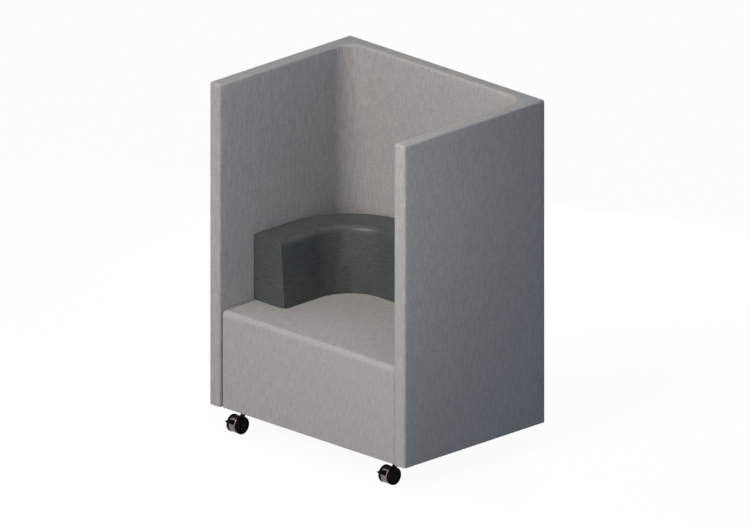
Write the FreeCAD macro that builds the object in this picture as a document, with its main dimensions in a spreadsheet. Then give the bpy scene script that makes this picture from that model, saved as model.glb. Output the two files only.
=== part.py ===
import FreeCAD, Part
import math
import os
import Sketcher

# Single-seat booth on castors: a three-sided upholstered screen, an upholstered seat box between its
# panels, a horseshoe back cushion on the seat, and four twin-wheel castors. Millimetres, +Z up, front
# towards -Y. The origin is on the floor, under the middle of the overall box.

DIMENSIONS = {
    # Screen
    "screen_width": 980,
    "screen_depth": 706,
    "screen_height": 1213.5,
    "floor_clearance": 90,
    "panel_thickness": 53,
    "cover_thickness": 1.5,
    "lining_gap": 0.3,
    "foam_sheet": 8,
    "outer_round": 8,
    "rim_ease": 1,
    "back_corner_ease": 2,
    "cove_radius": 75,
    "base_strip_thickness": 3,
    # Seat box
    "seat_height": 455,
    "seat_recess": 6,
    "seat_gap": 3,
    "seat_side_round": 12,
    "seat_front_ease": 12,
    "seat_foam_depth": 90,
    "seat_crown": 5,
    "crown_margin": 4,
    "front_pad_depth": 10,
    "rail_thickness": 18,
    "deck_thickness": 15,
    "dust_sheet": 1.5,
    "corner_block": 40,
    "corner_block_lift": 12,
    "castor_board_thickness": 25,
    "castor_board_width": 110,
    # Back cushion
    "cushion_height": 250,
    "cushion_thickness": 153,
    "cushion_taper": 18,
    "cushion_radius": 300,
    "cushion_setback": 168,
    "cushion_inner_round": 35,
    "cushion_edge_round": 9,
    "cushion_end_ease": 2,
    "cushion_board_thickness": 9,
    "cushion_board_margin": 6,
    "grip_strip_thickness": 2.5,
    "grip_strip_height": 50,
    "grip_strip_length": 120,
    "grip_strip_rise": 90,
    "grip_strip_inset": 25,
    # Fasteners
    "fit_clearance": 0.05,
    "drill_clearance": 0.3,
    "corner_screw_radius": 3.5,
    "corner_screw_head_radius": 5.5,
    "corner_screw_head": 4,
    "corner_screw_grip": 50,
    "corner_screw_margin": 100,
    "deck_screw_radius": 2.2,
    "deck_screw_head_radius": 4,
    "deck_screw_head": 3,
    "deck_screw_length": 45,
    "deck_screw_margin": 80,
    "base_bolt_radius": 4,
    "base_bolt_head_radius": 7,
    "base_bolt_head": 8,
    "base_bolt_margin": 150,
    "base_bolt_rise": 130,
    "back_bolt_spread": 400,
    "base_spacer_radius": 9,
    "insert_nut_radius": 6.5,
    "insert_nut_cover": 11,
    "tee_nut_radius": 6.5,
    "tee_nut_length": 18,
    "tee_nut_flange_radius": 12,
    "tee_nut_flange": 2,
    # Castors
    "front_castor_side_inset": 32.7,
    "rear_castor_side_inset": 144.5,
    "front_castor_inset": 22,
    "rear_castor_inset": 24,
    "castor_trail": 24,
    "castor_width": 53,
    "wheel_diameter": 65,
    "wheel_width": 11,
    "wheel_gap": 1,
    "wheel_edge_round": 2.5,
    "wheel_rim": 6,
    "wheel_dish": 2.2,
    "axle_radius": 4,
    "axle_head_radius": 7,
    "axle_head": 1.5,
    "axle_head_gap": 0.3,
    "hood_inset": 1,
    "hood_wall": 4,
    "hood_edge_round": 1.5,
    "boss_inset": 4,
    "boss_drop": 6,
    "boss_floor": 4,
    "collar_step": 4,
    "collar_height": 31,
    "collar_hole_gap": 1,
    "swivel_gap": 0.3,
    "stem_pin_radius": 5.5,
    "stem_thread_radius": 5,
    "stem_overrun": 2,
    "lever_length": 54,
    "lever_tip_rise": 21,
    "lever_tip_thickness": 6,
    "lever_boss": 4.5,
    "lever_boss_round": 4,
    "lever_tip_round": 2.5,
    "lever_pivot_depth": 12,
    "lever_pivot_drop": 17,
    "lever_pin_radius": 2.5,
    "lever_side_gap": 0.75,
    "lever_slot_above": 7,
    "lever_slot_below": 8.5,
    "lever_slot_behind": 7,
    # Cutting tools run this far past the face they open
    "overrun": 1,
}
CORNER_SCREWS_PER_SIDE = 4
DECK_SCREW_ROWS = 3
PLACE_TOLERANCE = 0.001

doc = FreeCAD.newDocument("Booth")
sheet = doc.addObject("Spreadsheet::Sheet", "Dims")
for row, (name, number) in enumerate(DIMENSIONS.items(), start=1):
    sheet.set(f"A{row}", name)
    sheet.set(f"B{row}", str(number))
    sheet.setAlias(f"B{row}", name)
doc.recompute()

pieces = []


def value(expression):
    """Number that an expression on the sheet gives now."""
    return float(sheet.evalExpression(expression))


def piece(label, item):
    """Name a finished sub-part and keep it for writing."""
    item.Label = label
    pieces.append(item)
    return item


# Boards, rods and their joins

AXIS_TURN = {
    "x": FreeCAD.Rotation(FreeCAD.Vector(0, 1, 0), 90),
    "y": FreeCAD.Rotation(FreeCAD.Vector(1, 0, 0), -90),
    "z": FreeCAD.Rotation(),
}


def block(name, x, y, z):
    """Board between a low and a high expression on each axis."""
    box = doc.addObject("Part::Box", name)
    for size, letter, (low, high) in zip(("Length", "Width", "Height"), "xyz", (x, y, z)):
        box.setExpression(size, f"{high} - ({low})")
        box.setExpression("Placement.Base." + letter, low)
    return box


def rod(name, axis, span, radius, **place):
    """Cylinder along one axis from the low to the high end of span; place gives the other two."""
    low, high = span
    cylinder = doc.addObject("Part::Cylinder", name)
    cylinder.setExpression("Radius", radius)
    cylinder.setExpression("Height", f"{high} - ({low})")
    cylinder.Placement = FreeCAD.Placement(FreeCAD.Vector(), AXIS_TURN[axis])
    place[axis] = low
    for letter, expression in place.items():
        cylinder.setExpression("Placement.Base." + letter, expression)
    return cylinder


def group(name, items):
    """Several separate solids held as one object."""
    compound = doc.addObject("Part::Compound", name)
    compound.Links = items
    return compound


def join(kind, name, base, tool):
    """Boolean of two objects; kind is Cut, Common or Fuse."""
    result = doc.addObject("Part::" + kind, name)
    result.Base = base
    result.Tool = tool
    return result


def span_on(side, near, far):
    """Low and high X of a stretch from near to far of the middle, on the left (-1) or right (1)."""
    if side > 0:
        return near, far
    return f"-({far})", f"-({near})"


# Sketched bodies

def sketch_on(body, plane, **offset):
    """Sketch on one of the body's origin planes, moved by expressions along the plane's own axes."""
    sketch = body.newObject("Sketcher::SketchObject", body.Name + "_sketch")
    support = next(item for item in body.Origin.OriginFeatures if item.Role == plane)
    sketch.AttachmentSupport = [(support, "")]
    sketch.MapMode = "FlatFace"
    for letter, expression in offset.items():
        sketch.setExpression("AttachmentOffset.Base." + letter, expression)
    return sketch


def bind(sketch, constraint, expression):
    """Add a constraint and tie its size to the sheet."""
    index = sketch.addConstraint(constraint)
    name = f"size{index}"
    sketch.renameConstraint(index, name)
    sketch.setExpression("Constraints." + name, expression)


def pin_point(sketch, geometry, end, x, y):
    """Fix one point of a sketch by its two coordinates."""
    bind(sketch, Sketcher.Constraint("DistanceX", -1, 1, geometry, end, value(x)), x)
    bind(sketch, Sketcher.Constraint("DistanceY", -1, 1, geometry, end, value(y)), y)


def outline(sketch, corners, closed=True):
    """Straight lines through corners (x, y, radius), with an arc where a radius is given."""
    points = [FreeCAD.Vector(value(x), value(y), 0) for x, y, radius in corners]
    count = len(corners)
    leaves = list(points)
    enters = list(points)
    arcs = {}
    for index, (x, y, radius) in enumerate(corners):
        if radius is None:
            continue
        corner = points[index]
        back = (points[index - 1] - corner).normalize()
        ahead = (points[(index + 1) % count] - corner).normalize()
        half_angle = back.getAngle(ahead) / 2
        reach = value(radius) / math.tan(half_angle)
        centre = corner + (back + ahead).normalize() * (value(radius) / math.sin(half_angle))
        enters[index] = corner + back * reach
        leaves[index] = corner + ahead * reach
        turns_left = back.cross(ahead).z < 0
        first, last = (enters[index], leaves[index]) if turns_left else (leaves[index], enters[index])
        angles = [math.atan2(point.y - centre.y, point.x - centre.x) for point in (first, last)]
        circle = Part.Circle(centre, FreeCAD.Vector(0, 0, 1), value(radius))
        arc = sketch.addGeometry(Part.ArcOfCircle(circle, *angles))
        arcs[index] = (arc, 1 if turns_left else 2)
    lines = []
    for index in range(count if closed else count - 1):
        after = (index + 1) % count
        lines.append(sketch.addGeometry(Part.LineSegment(leaves[index], enters[after])))
    for index, (x, y, radius) in enumerate(corners):
        if not closed and index == 0:
            pin_point(sketch, lines[0], 1, x, y)
        elif not closed and index == count - 1:
            pin_point(sketch, lines[-1], 2, x, y)
        elif radius is None:
            sketch.addConstraint(Sketcher.Constraint("Coincident", lines[index - 1], 2, lines[index], 1))
            pin_point(sketch, lines[index], 1, x, y)
        else:
            arc, arc_start = arcs[index]
            mark = sketch.addGeometry(Part.Point(points[index]), True)
            pin_point(sketch, mark, 1, x, y)
            sketch.addConstraint(Sketcher.Constraint("PointOnObject", mark, 1, lines[index - 1]))
            sketch.addConstraint(Sketcher.Constraint("PointOnObject", mark, 1, lines[index]))
            sketch.addConstraint(Sketcher.Constraint("Tangent", lines[index - 1], 2, arc, arc_start))
            sketch.addConstraint(Sketcher.Constraint("Tangent", arc, 3 - arc_start, lines[index], 1))
            bind(sketch, Sketcher.Constraint("Radius", arc, value(radius)), radius)
    return sketch


def disc(sketch, x, y, radius):
    """Circle about a point given by expressions."""
    centre = FreeCAD.Vector(value(x), value(y), 0)
    circle = sketch.addGeometry(Part.Circle(centre, FreeCAD.Vector(0, 0, 1), value(radius)))
    pin_point(sketch, circle, 3, x, y)
    bind(sketch, Sketcher.Constraint("Radius", circle, value(radius)), radius)
    return sketch


def pad(body, sketch, length):
    """Pad along the sketch's normal."""
    feature = body.newObject("PartDesign::Pad", body.Name + "_pad")
    feature.Profile = sketch
    feature.setExpression("Length", length)
    return feature


def pocket(body, sketch, depth):
    """Cut against the sketch's normal, and make sure that it took something away."""
    doc.recompute()
    before = body.Shape.Volume
    feature = body.newObject("PartDesign::Pocket", body.Name + "_pocket")
    feature.Profile = sketch
    feature.setExpression("Length", depth)
    doc.recompute()
    if body.Shape.Volume >= before:
        raise RuntimeError("A pocket cut nothing in " + body.Name)
    return feature


def turn(body, sketch, axis):
    """Full turn about one of the sketch's own axes."""
    feature = body.newObject("PartDesign::Revolution", body.Name + "_turn")
    feature.Profile = sketch
    feature.ReferenceAxis = (sketch, [axis])
    feature.Angle = 360
    return feature


def lies(edge, **place):
    """True if the whole edge lies on the given coordinates."""
    if edge.Degenerated:
        return False
    marks = edge.discretize(5)
    return all(
        abs(getattr(mark, letter) - number) < PLACE_TOLERANCE
        for mark in marks for letter, number in place.items()
    )


def round_edges(body, radius, wanted):
    """Round the edges of the body's tip that the test picks."""
    doc.recompute()
    base = body.Tip
    names = [f"Edge{number}" for number, edge in enumerate(base.Shape.Edges, start=1) if wanted(edge)]
    feature = body.newObject("PartDesign::Fillet", body.Name + "_round")
    feature.Base = (base, names)
    feature.setExpression("Radius", radius)
    doc.recompute()
    return feature


# Places that several pieces share

boss_radius = "((Dims.castor_width - 2 * (Dims.wheel_width + Dims.wheel_gap)) / 2 - Dims.boss_inset)"
lining = "(Dims.cover_thickness + Dims.lining_gap)"
panel_skin = f"({lining} + Dims.foam_sheet)"
rail_back = f"(Dims.seat_recess + {lining} + Dims.front_pad_depth + Dims.rail_thickness)"
lever_reach = f"(Dims.castor_trail + Dims.lever_length - {rail_back} - Dims.front_castor_inset)"
back_y = f"((Dims.screen_depth + {lever_reach}) / 2)"
front_y = f"({back_y} - Dims.screen_depth)"
base_z = "Dims.floor_clearance"
top_z = "(Dims.floor_clearance + Dims.screen_height)"
inner_x = "(Dims.screen_width / 2 - Dims.panel_thickness)"
inner_y = f"({back_y} - Dims.panel_thickness)"
core_in_x = f"({inner_x} + {panel_skin})"
core_out_x = f"(Dims.screen_width / 2 - {panel_skin})"
core_in_y = f"({inner_y} + {panel_skin})"
core_out_y = f"({back_y} - {panel_skin})"
core_bottom = "(Dims.floor_clearance + Dims.base_strip_thickness)"
core_top = f"({top_z} - {panel_skin})"
seat_x = f"({inner_x} - Dims.seat_gap)"
seat_front_y = f"({front_y} + Dims.seat_recess)"
seat_rear_y = f"({inner_y} - Dims.seat_gap)"
frame_x = f"({seat_x} - {lining})"
frame_front_y = f"({seat_front_y} + {lining} + Dims.front_pad_depth)"
frame_rear_y = f"({seat_rear_y} - {lining})"
bay_x = f"({frame_x} - Dims.rail_thickness)"
bay_front_y = f"({frame_front_y} + Dims.rail_thickness)"
bay_rear_y = f"({frame_rear_y} - Dims.rail_thickness)"
frame_z = "(Dims.floor_clearance + Dims.dust_sheet)"
board_top = f"({frame_z} + Dims.castor_board_thickness)"
deck_top = f"(Dims.seat_height - {lining} - Dims.seat_foam_depth)"
deck_bottom = f"({deck_top} - Dims.deck_thickness)"
cushion_x = f"({inner_x} - Dims.grip_strip_thickness)"
cushion_y = f"({inner_y} - Dims.grip_strip_thickness)"
cushion_front_y = f"({front_y} + Dims.cushion_setback)"

# Screen: one U-shaped envelope, inset for the fabric's inner face and for the padding under it. The
# inside corners are square round the seat box and coved above it.


def screen_plan(body, inset, bottom, corner_round=None, front_rounds=(None, None)):
    """Plan of the three panels, open to the front; corner_round coves the inside corners, and
    front_rounds are the radii of the outer and the inner front corners."""
    outer_front, inner_front = front_rounds
    outer_x = f"(Dims.screen_width / 2 - {inset})"
    inside_x = f"({inner_x} + {inset})"
    front = f"({front_y} + {inset})"
    back = f"({back_y} - {inset})"
    inside_y = f"({inner_y} + {inset})"
    back_corner = f"(Dims.outer_round + Dims.back_corner_ease - {inset})"
    corners = [
        (f"-{outer_x}", front, outer_front),
        (f"-{inside_x}", front, inner_front),
        (f"-{inside_x}", inside_y, corner_round),
        (inside_x, inside_y, corner_round),
        (inside_x, front, inner_front),
        (outer_x, front, outer_front),
        (outer_x, back, back_corner),
        (f"-{outer_x}", back, back_corner),
    ]
    return outline(sketch_on(body, "XY_Plane", z=bottom), corners)


def screen_envelope(name, inset, bottom):
    """The screen's outside, moved in by inset: soft rim and inner edges, tighter outer edges."""
    body = doc.addObject("PartDesign::Body", name)
    top = f"({top_z} - {inset})"
    cove_foot = f"(Dims.seat_height + Dims.seat_gap + {inset})"
    cove = f"(Dims.cove_radius + {inset})"
    pad(body, screen_plan(body, inset, bottom), f"{top} - ({bottom})")
    pad(body, screen_plan(body, inset, cove_foot, cove), f"{top} - {cove_foot}")
    outer_x = value(f"Dims.screen_width / 2 - {inset}")
    inside_x = value(f"{inner_x} + {inset}")
    inside_y = value(f"{inner_y} + {inset}")
    front = value(f"{front_y} + {inset}")
    height = value(top)

    def on_inner_rim(edge):
        box = edge.BoundBox
        inside = max(-box.XMin, box.XMax) < inside_x + PLACE_TOLERANCE
        return lies(edge, z=height) and inside and box.YMax < inside_y + PLACE_TOLERANCE

    def on_inner_front(edge):
        at_mouth = lies(edge, x=inside_x, y=front) or lies(edge, x=-inside_x, y=front)
        return at_mouth or lies(edge, y=front, z=height)

    round_edges(body, f"Dims.outer_round + Dims.rim_ease - {inset}",
                lambda edge: on_inner_rim(edge) or on_inner_front(edge))
    round_edges(body, f"Dims.outer_round - {inset}",
                lambda edge: lies(edge, x=outer_x, z=height) or lies(edge, x=-outer_x, z=height))
    return body


screen_outside = screen_envelope("screen_outside", "0", base_z)
screen_cavity = screen_envelope("screen_cavity", "Dims.cover_thickness", f"({base_z} - Dims.overrun)")
screen_padding = screen_envelope("screen_padding", lining, core_bottom)

base_strip = doc.addObject("PartDesign::Body", "base_strip_body")
strip_rounds = (f"(Dims.outer_round - {lining})", f"(Dims.outer_round + Dims.rim_ease - {lining})")
strip_plan = screen_plan(base_strip, lining, base_z, front_rounds=strip_rounds)
pad(base_strip, strip_plan, "Dims.base_strip_thickness")
piece("screen_base_strip", base_strip)

# Panel cores and the long screws that join them: the back core fits between the side cores

corner_screws = []
corner_drills = []
screw_pitch = f"(({core_top} - {core_bottom} - 2 * Dims.corner_screw_margin) / {CORNER_SCREWS_PER_SIDE - 1})"
for side in (-1, 1):
    for step in range(CORNER_SCREWS_PER_SIDE):
        place = {
            "y": f"({core_in_y} + {core_out_y}) / 2",
            "z": f"{core_bottom} + Dims.corner_screw_margin + {step} * {screw_pitch}",
        }
        head_span = span_on(side, f"({core_out_x} - Dims.corner_screw_head)", core_out_x)
        shank_span = span_on(side, f"({core_in_x} - Dims.corner_screw_grip)",
                             f"({core_out_x} - Dims.corner_screw_head)")
        for made, extra in ((corner_screws, "0"), (corner_drills, "Dims.fit_clearance")):
            head = rod("screw_head", "x", head_span, f"Dims.corner_screw_head_radius + {extra}", **place)
            shank = rod("screw_shank", "x", shank_span, f"Dims.corner_screw_radius + {extra}", **place)
            made.append(join("Fuse", "corner_screw", head, shank))
piece("panel_corner_screws", group("corner_screw_set", corner_screws))
corner_drill_set = group("corner_drill_set", corner_drills)

# Bolts that hold the seat box between the panels, with the sleeves that bridge the padding and the
# nuts let into the cores: two through each side rail and two through the rear rail

bolt_places = []
for side in (-1, 1):
    for along in (f"({front_y} + Dims.base_bolt_margin)", f"({inner_y} - Dims.base_bolt_margin)"):
        bolt_places.append(("x", side, bay_x, frame_x, core_in_x, {"y": along}))
for side in (-1, 1):
    across = f"({side} * Dims.back_bolt_spread / 2)"
    bolt_places.append(("y", 1, bay_rear_y, frame_rear_y, core_in_y, {"x": across}))

insert_length = f"(Dims.panel_thickness - 2 * {panel_skin} - Dims.insert_nut_cover)"
bolts = []
bolt_drills = []
spacers = []
spacer_drills = []
nuts = []
nut_drills = []
for axis, side, head_face, frame_face, core_face, place in bolt_places:
    place["z"] = f"{board_top} + Dims.base_bolt_rise"
    nut_end = f"({core_face} + {insert_length})"
    head_span = span_on(side, f"({head_face} - Dims.base_bolt_head)", head_face)
    shank_span = span_on(side, head_face, f"({nut_end} - Dims.overrun)")
    rail_span = span_on(side, head_face, frame_face)
    sleeve_span = span_on(side, frame_face, core_face)
    nut_span = span_on(side, core_face, nut_end)
    bore = "Dims.base_bolt_radius + Dims.drill_clearance"
    thread = "Dims.base_bolt_radius + Dims.fit_clearance"
    head = rod("bolt_head", axis, head_span, "Dims.base_bolt_head_radius", **place)
    shank = rod("bolt_shank", axis, shank_span, "Dims.base_bolt_radius", **place)
    bolts.append(join("Fuse", "base_bolt", head, shank))
    bolt_drills.append(rod("bolt_drill", axis, rail_span, bore, **place))
    sleeve = rod("sleeve", axis, sleeve_span, "Dims.base_spacer_radius", **place)
    sleeve_bore = rod("sleeve_bore", axis, sleeve_span, bore, **place)
    spacers.append(join("Cut", "base_spacer", sleeve, sleeve_bore))
    sleeve_room = "Dims.base_spacer_radius + Dims.drill_clearance"
    spacer_drills.append(rod("sleeve_drill", axis, sleeve_span, sleeve_room, **place))
    nut = rod("nut", axis, nut_span, "Dims.insert_nut_radius", **place)
    nut_bore = rod("nut_bore", axis, nut_span, thread, **place)
    nuts.append(join("Cut", "insert_nut", nut, nut_bore))
    nut_room = "Dims.insert_nut_radius + Dims.fit_clearance"
    nut_drills.append(rod("nut_drill", axis, nut_span, nut_room, **place))
piece("base_bolts", group("base_bolt_set", bolts))
piece("base_spacers", group("base_spacer_set", spacers))
piece("core_insert_nuts", group("insert_nut_set", nuts))
bolt_drill_set = group("bolt_drill_set", bolt_drills)
spacer_drill_set = group("spacer_drill_set", spacer_drills)
nut_drill_set = group("nut_drill_set", nut_drills)

core_height = (core_bottom, core_top)
core_depth = (f"({front_y} + {panel_skin})", core_out_y)
core_blanks = {
    "left": block("left_core_blank", span_on(-1, core_in_x, core_out_x), core_depth, core_height),
    "right": block("right_core_blank", span_on(1, core_in_x, core_out_x), core_depth, core_height),
    "back": block("back_core_blank", (f"-{core_in_x}", core_in_x), (core_in_y, core_out_y), core_height),
}
for side, blank in core_blanks.items():
    drilled = join("Cut", side + "_core_drilled", blank, corner_drill_set)
    piece(side + "_panel_core", join("Cut", side + "_core", drilled, nut_drill_set))

# Padding of the panels: the envelope under the fabric, mitred through the back corners, less the cores

mitre_leg = "(Dims.screen_depth + 2 * Dims.overrun)"
padding_share = {}
for side, name in ((-1, "left"), (1, "right")):
    corner_x = f"{side} * (Dims.screen_width / 2 + Dims.overrun)"
    wedge = doc.addObject("PartDesign::Body", name + "_mitre")
    mitre = [
        (corner_x, f"{back_y} + Dims.overrun", None),
        (corner_x, f"{front_y} - Dims.overrun", None),
        (f"{corner_x} - {side} * {mitre_leg}", f"{front_y} - Dims.overrun", None),
    ]
    pad(wedge, outline(sketch_on(wedge, "XY_Plane", z=base_z), mitre), "Dims.screen_height + Dims.overrun")
    padding_share[name] = (join("Common", name + "_padding", screen_padding, wedge), wedge)
without_left = join("Cut", "padding_without_left", screen_padding, padding_share["left"][1])
back_padding = join("Cut", "back_padding", without_left, padding_share["right"][1])
for name, share in (("left", padding_share["left"][0]), ("right", padding_share["right"][0]),
                    ("back", back_padding)):
    for blank in core_blanks:
        share = join("Cut", name + "_padding_less_core", share, core_blanks[blank])
    piece(name + "_panel_foam", join("Cut", name + "_foam", share, spacer_drill_set))

screen_skin = join("Cut", "screen_skin", screen_outside, screen_cavity)
piece("screen_cover", join("Cut", "screen_cover_drilled", screen_skin, spacer_drill_set))

# Seat box: plywood carcass, castor boards, corner blocks, deck, padding and one fabric cover

frame_height = (frame_z, deck_bottom)
frame_depth = (frame_front_y, frame_rear_y)

deck_screws = []
deck_drills = []
deck_screw_pitch = (f"(({frame_rear_y} - {frame_front_y} - 2 * Dims.deck_screw_margin)"
                    f" / {DECK_SCREW_ROWS - 1})")
for across in (-1, 0, 1):
    for step in range(DECK_SCREW_ROWS):
        place = {
            "x": f"{across} * ({frame_x} + {bay_x}) / 2",
            "y": f"{frame_front_y} + Dims.deck_screw_margin + {step} * {deck_screw_pitch}",
        }
        head_span = (f"({deck_top} - Dims.deck_screw_head)", deck_top)
        shank_span = (f"({deck_top} - Dims.deck_screw_length)", f"({deck_top} - Dims.deck_screw_head)")
        for made, extra in ((deck_screws, "0"), (deck_drills, "Dims.fit_clearance")):
            head = rod("deck_screw_head", "z", head_span, f"Dims.deck_screw_head_radius + {extra}", **place)
            shank = rod("deck_screw_shank", "z", shank_span, f"Dims.deck_screw_radius + {extra}", **place)
            made.append(join("Fuse", "deck_screw", head, shank))
piece("deck_screws", group("deck_screw_set", deck_screws))
deck_drill_set = group("deck_drill_set", deck_drills)

rails = {
    "front_rail": ((f"-{bay_x}", bay_x), (frame_front_y, bay_front_y), frame_height),
    "rear_rail": ((f"-{bay_x}", bay_x), (bay_rear_y, frame_rear_y), frame_height),
    "left_rail": (span_on(-1, bay_x, frame_x), frame_depth, frame_height),
    "right_rail": (span_on(1, bay_x, frame_x), frame_depth, frame_height),
    "centre_rail": (("-Dims.rail_thickness / 2", "Dims.rail_thickness / 2"), (bay_front_y, bay_rear_y),
                    (board_top, deck_bottom)),
}
for name, spans in rails.items():
    bored = join("Cut", name + "_bored", block(name + "_blank", *spans), bolt_drill_set)
    piece(name, join("Cut", name + "_drilled", bored, deck_drill_set))

deck_blank = block("deck_blank", (f"-{frame_x}", frame_x), frame_depth, (deck_bottom, deck_top))
piece("seat_deck", join("Cut", "deck_drilled", deck_blank, deck_drill_set))

corner_blocks = []
for side in (-1, 1):
    for low, high in ((bay_front_y, f"({bay_front_y} + Dims.corner_block)"),
                      (f"({bay_rear_y} - Dims.corner_block)", bay_rear_y)):
        across = span_on(side, f"({bay_x} - Dims.corner_block)", bay_x)
        standing = (f"({board_top} + Dims.corner_block_lift)", deck_bottom)
        corner_blocks.append(block("corner_block_blank", across, (low, high), standing))
piece("corner_blocks", group("corner_block_set", corner_blocks))

cushion_inner_y = f"({cushion_y} - Dims.cushion_thickness)"
crown_front_y = f"({seat_front_y} + Dims.seat_side_round + Dims.seat_front_ease)"
crown_y = f"(({crown_front_y} + {cushion_inner_y}) / 2)"
crown_radius = (f"(min(({cushion_inner_y} - {crown_front_y}) / 2; {cushion_x} - Dims.cushion_thickness)"
                f" - Dims.crown_margin)")


def seat_envelope(name, inset, bottom):
    """The seat box's outside, moved in by inset: soft front and side edges and a low crown."""
    body = doc.addObject("PartDesign::Body", name)
    half = f"({seat_x} - {inset})"
    front = f"({seat_front_y} + {inset})"
    rear = f"({seat_rear_y} - {inset})"
    top = f"(Dims.seat_height - {inset})"
    plan = [(f"-{half}", front, None), (half, front, None), (half, rear, None), (f"-{half}", rear, None)]
    pad(body, outline(sketch_on(body, "XY_Plane", z=bottom), plan), f"{top} - ({bottom})")
    height = value(top)
    side_x = value(half)
    round_edges(body, f"Dims.seat_side_round + Dims.seat_front_ease - {inset}",
                lambda edge: lies(edge, y=value(front), z=height))
    round_edges(body, f"Dims.seat_side_round - {inset}",
                lambda edge: lies(edge, x=side_x, z=height) or lies(edge, x=-side_x, z=height))
    add_crown(body, top)
    return body


def add_crown(body, top):
    """Low dome where the sitter sits, turned about a vertical line."""
    ball = f"(({crown_radius} * {crown_radius} + Dims.seat_crown * Dims.seat_crown) / (2 * Dims.seat_crown))"
    sunk = f"({top} - Dims.overrun)"
    sketch = sketch_on(body, "XZ_Plane", z=f"-({crown_y})")
    marks = [("0", sunk), (crown_radius, sunk), (crown_radius, top), ("0", f"{top} + Dims.seat_crown")]
    points = [FreeCAD.Vector(value(x), value(y), 0) for x, y in marks]
    radius = value(ball)
    centre = points[3] - FreeCAD.Vector(0, radius, 0)
    start_angle = math.atan2(points[2].y - centre.y, points[2].x)
    floor = sketch.addGeometry(Part.LineSegment(points[0], points[1]))
    wall = sketch.addGeometry(Part.LineSegment(points[1], points[2]))
    circle = Part.Circle(centre, FreeCAD.Vector(0, 0, 1), radius)
    dome = sketch.addGeometry(Part.ArcOfCircle(circle, start_angle, math.pi / 2))
    spine = sketch.addGeometry(Part.LineSegment(points[3], points[0]))
    sketch.addConstraint(Sketcher.Constraint("Coincident", floor, 2, wall, 1))
    sketch.addConstraint(Sketcher.Constraint("Coincident", wall, 2, dome, 1))
    sketch.addConstraint(Sketcher.Constraint("Coincident", dome, 2, spine, 1))
    sketch.addConstraint(Sketcher.Constraint("Coincident", spine, 2, floor, 1))
    for line, (x, y) in zip((floor, wall), marks):
        pin_point(sketch, line, 1, x, y)
    pin_point(sketch, wall, 2, *marks[2])
    pin_point(sketch, spine, 1, *marks[3])
    bind(sketch, Sketcher.Constraint("Radius", dome, radius), ball)
    turn(body, sketch, "V_Axis")


seat_outside = seat_envelope("seat_outside", "0", base_z)
seat_cavity = seat_envelope("seat_cavity", "Dims.cover_thickness", f"({base_z} - Dims.overrun)")
seat_padding = seat_envelope("seat_padding", lining, frame_z)

seat_skin = join("Cut", "seat_skin", seat_outside, seat_cavity)
piece("seat_cover", join("Cut", "seat_cover_drilled", seat_skin, spacer_drill_set))

seat_width = (f"-{seat_x}", seat_x)
above_deck = block("above_deck", seat_width, (seat_front_y, seat_rear_y),
                   (deck_top, "(Dims.seat_height + Dims.seat_crown)"))
piece("seat_foam", join("Common", "seat_foam_cut", seat_padding, above_deck))
before_rail = block("before_rail", seat_width, (seat_front_y, frame_front_y), (frame_z, deck_top))
piece("front_pad", join("Common", "front_pad_cut", seat_padding, before_rail))

# Back cushion: one section swept round a horseshoe, its inner face leaning back


def cushion_envelope(name, inset, bottom):
    """The cushion's outside, moved in by inset."""
    body = doc.addObject("PartDesign::Body", name)
    end = f"({cushion_front_y} + {inset})"
    side = f"({cushion_x} - {inset})"
    rear = f"({cushion_y} - {inset})"
    bend = f"(Dims.cushion_radius - {inset})"
    path = outline(sketch_on(body, "XY_Plane", z=bottom), [
        (f"-{side}", end, None),
        (f"-{side}", rear, bend),
        (side, rear, bend),
        (side, end, None),
    ], closed=False)
    lean = "(Dims.cushion_taper / Dims.cushion_height)"
    shift = f"({inset} * sqrt(1 + {lean} * {lean}))"
    top = f"(Dims.seat_height + Dims.cushion_height - {inset})"
    face = f"(-{cushion_x} + Dims.cushion_thickness - {shift})"
    section = outline(sketch_on(body, "XZ_Plane", z=f"-({end})"), [
        (f"-{side}", bottom, None),
        (f"{face} - {lean} * ({bottom} - Dims.seat_height)", bottom, None),
        (f"{face} - {lean} * ({top} - Dims.seat_height)", top, f"(Dims.cushion_inner_round - {inset})"),
        (f"-{side}", top, f"(Dims.cushion_edge_round - {inset})"),
    ])
    sweep = body.newObject("PartDesign::AdditivePipe", name + "_sweep")
    sweep.Profile = section
    sweep.Spine = path
    end_y = value(end)
    foot = value(bottom)
    round_edges(body, f"Dims.cushion_edge_round - Dims.cushion_end_ease - {inset}",
                lambda edge: lies(edge, y=end_y) and not lies(edge, z=foot))
    return body


cushion_outside = cushion_envelope("cushion_outside", "0", "Dims.seat_height")
cushion_cavity = cushion_envelope("cushion_cavity", "Dims.cover_thickness",
                                  "(Dims.seat_height - Dims.overrun)")
cushion_padding = cushion_envelope("cushion_padding", lining, "Dims.seat_height")
piece("cushion_cover", join("Cut", "cushion_skin", cushion_outside, cushion_cavity))

board_inset = f"({lining} + Dims.cushion_board_margin)"
board_end = f"({cushion_front_y} + {board_inset})"
board_side = f"({cushion_x} - {board_inset})"
board_rear = f"({cushion_y} - {board_inset})"
board_bend = f"(Dims.cushion_radius - {board_inset})"
hollow_side = f"({cushion_x} - Dims.cushion_thickness + {board_inset})"
hollow_rear = f"({cushion_inner_y} + {board_inset})"
hollow_bend = f"(Dims.cushion_radius - Dims.cushion_thickness + {board_inset})"
cushion_base = doc.addObject("PartDesign::Body", "cushion_base")
board_plan = outline(sketch_on(cushion_base, "XY_Plane", z="Dims.seat_height"), [
    (f"-{board_side}", board_end, None),
    (f"-{board_side}", board_rear, board_bend),
    (board_side, board_rear, board_bend),
    (board_side, board_end, None),
    (hollow_side, board_end, None),
    (hollow_side, hollow_rear, hollow_bend),
    (f"-{hollow_side}", hollow_rear, hollow_bend),
    (f"-{hollow_side}", board_end, None),
])
pad(cushion_base, board_plan, "Dims.cushion_board_thickness")
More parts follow.
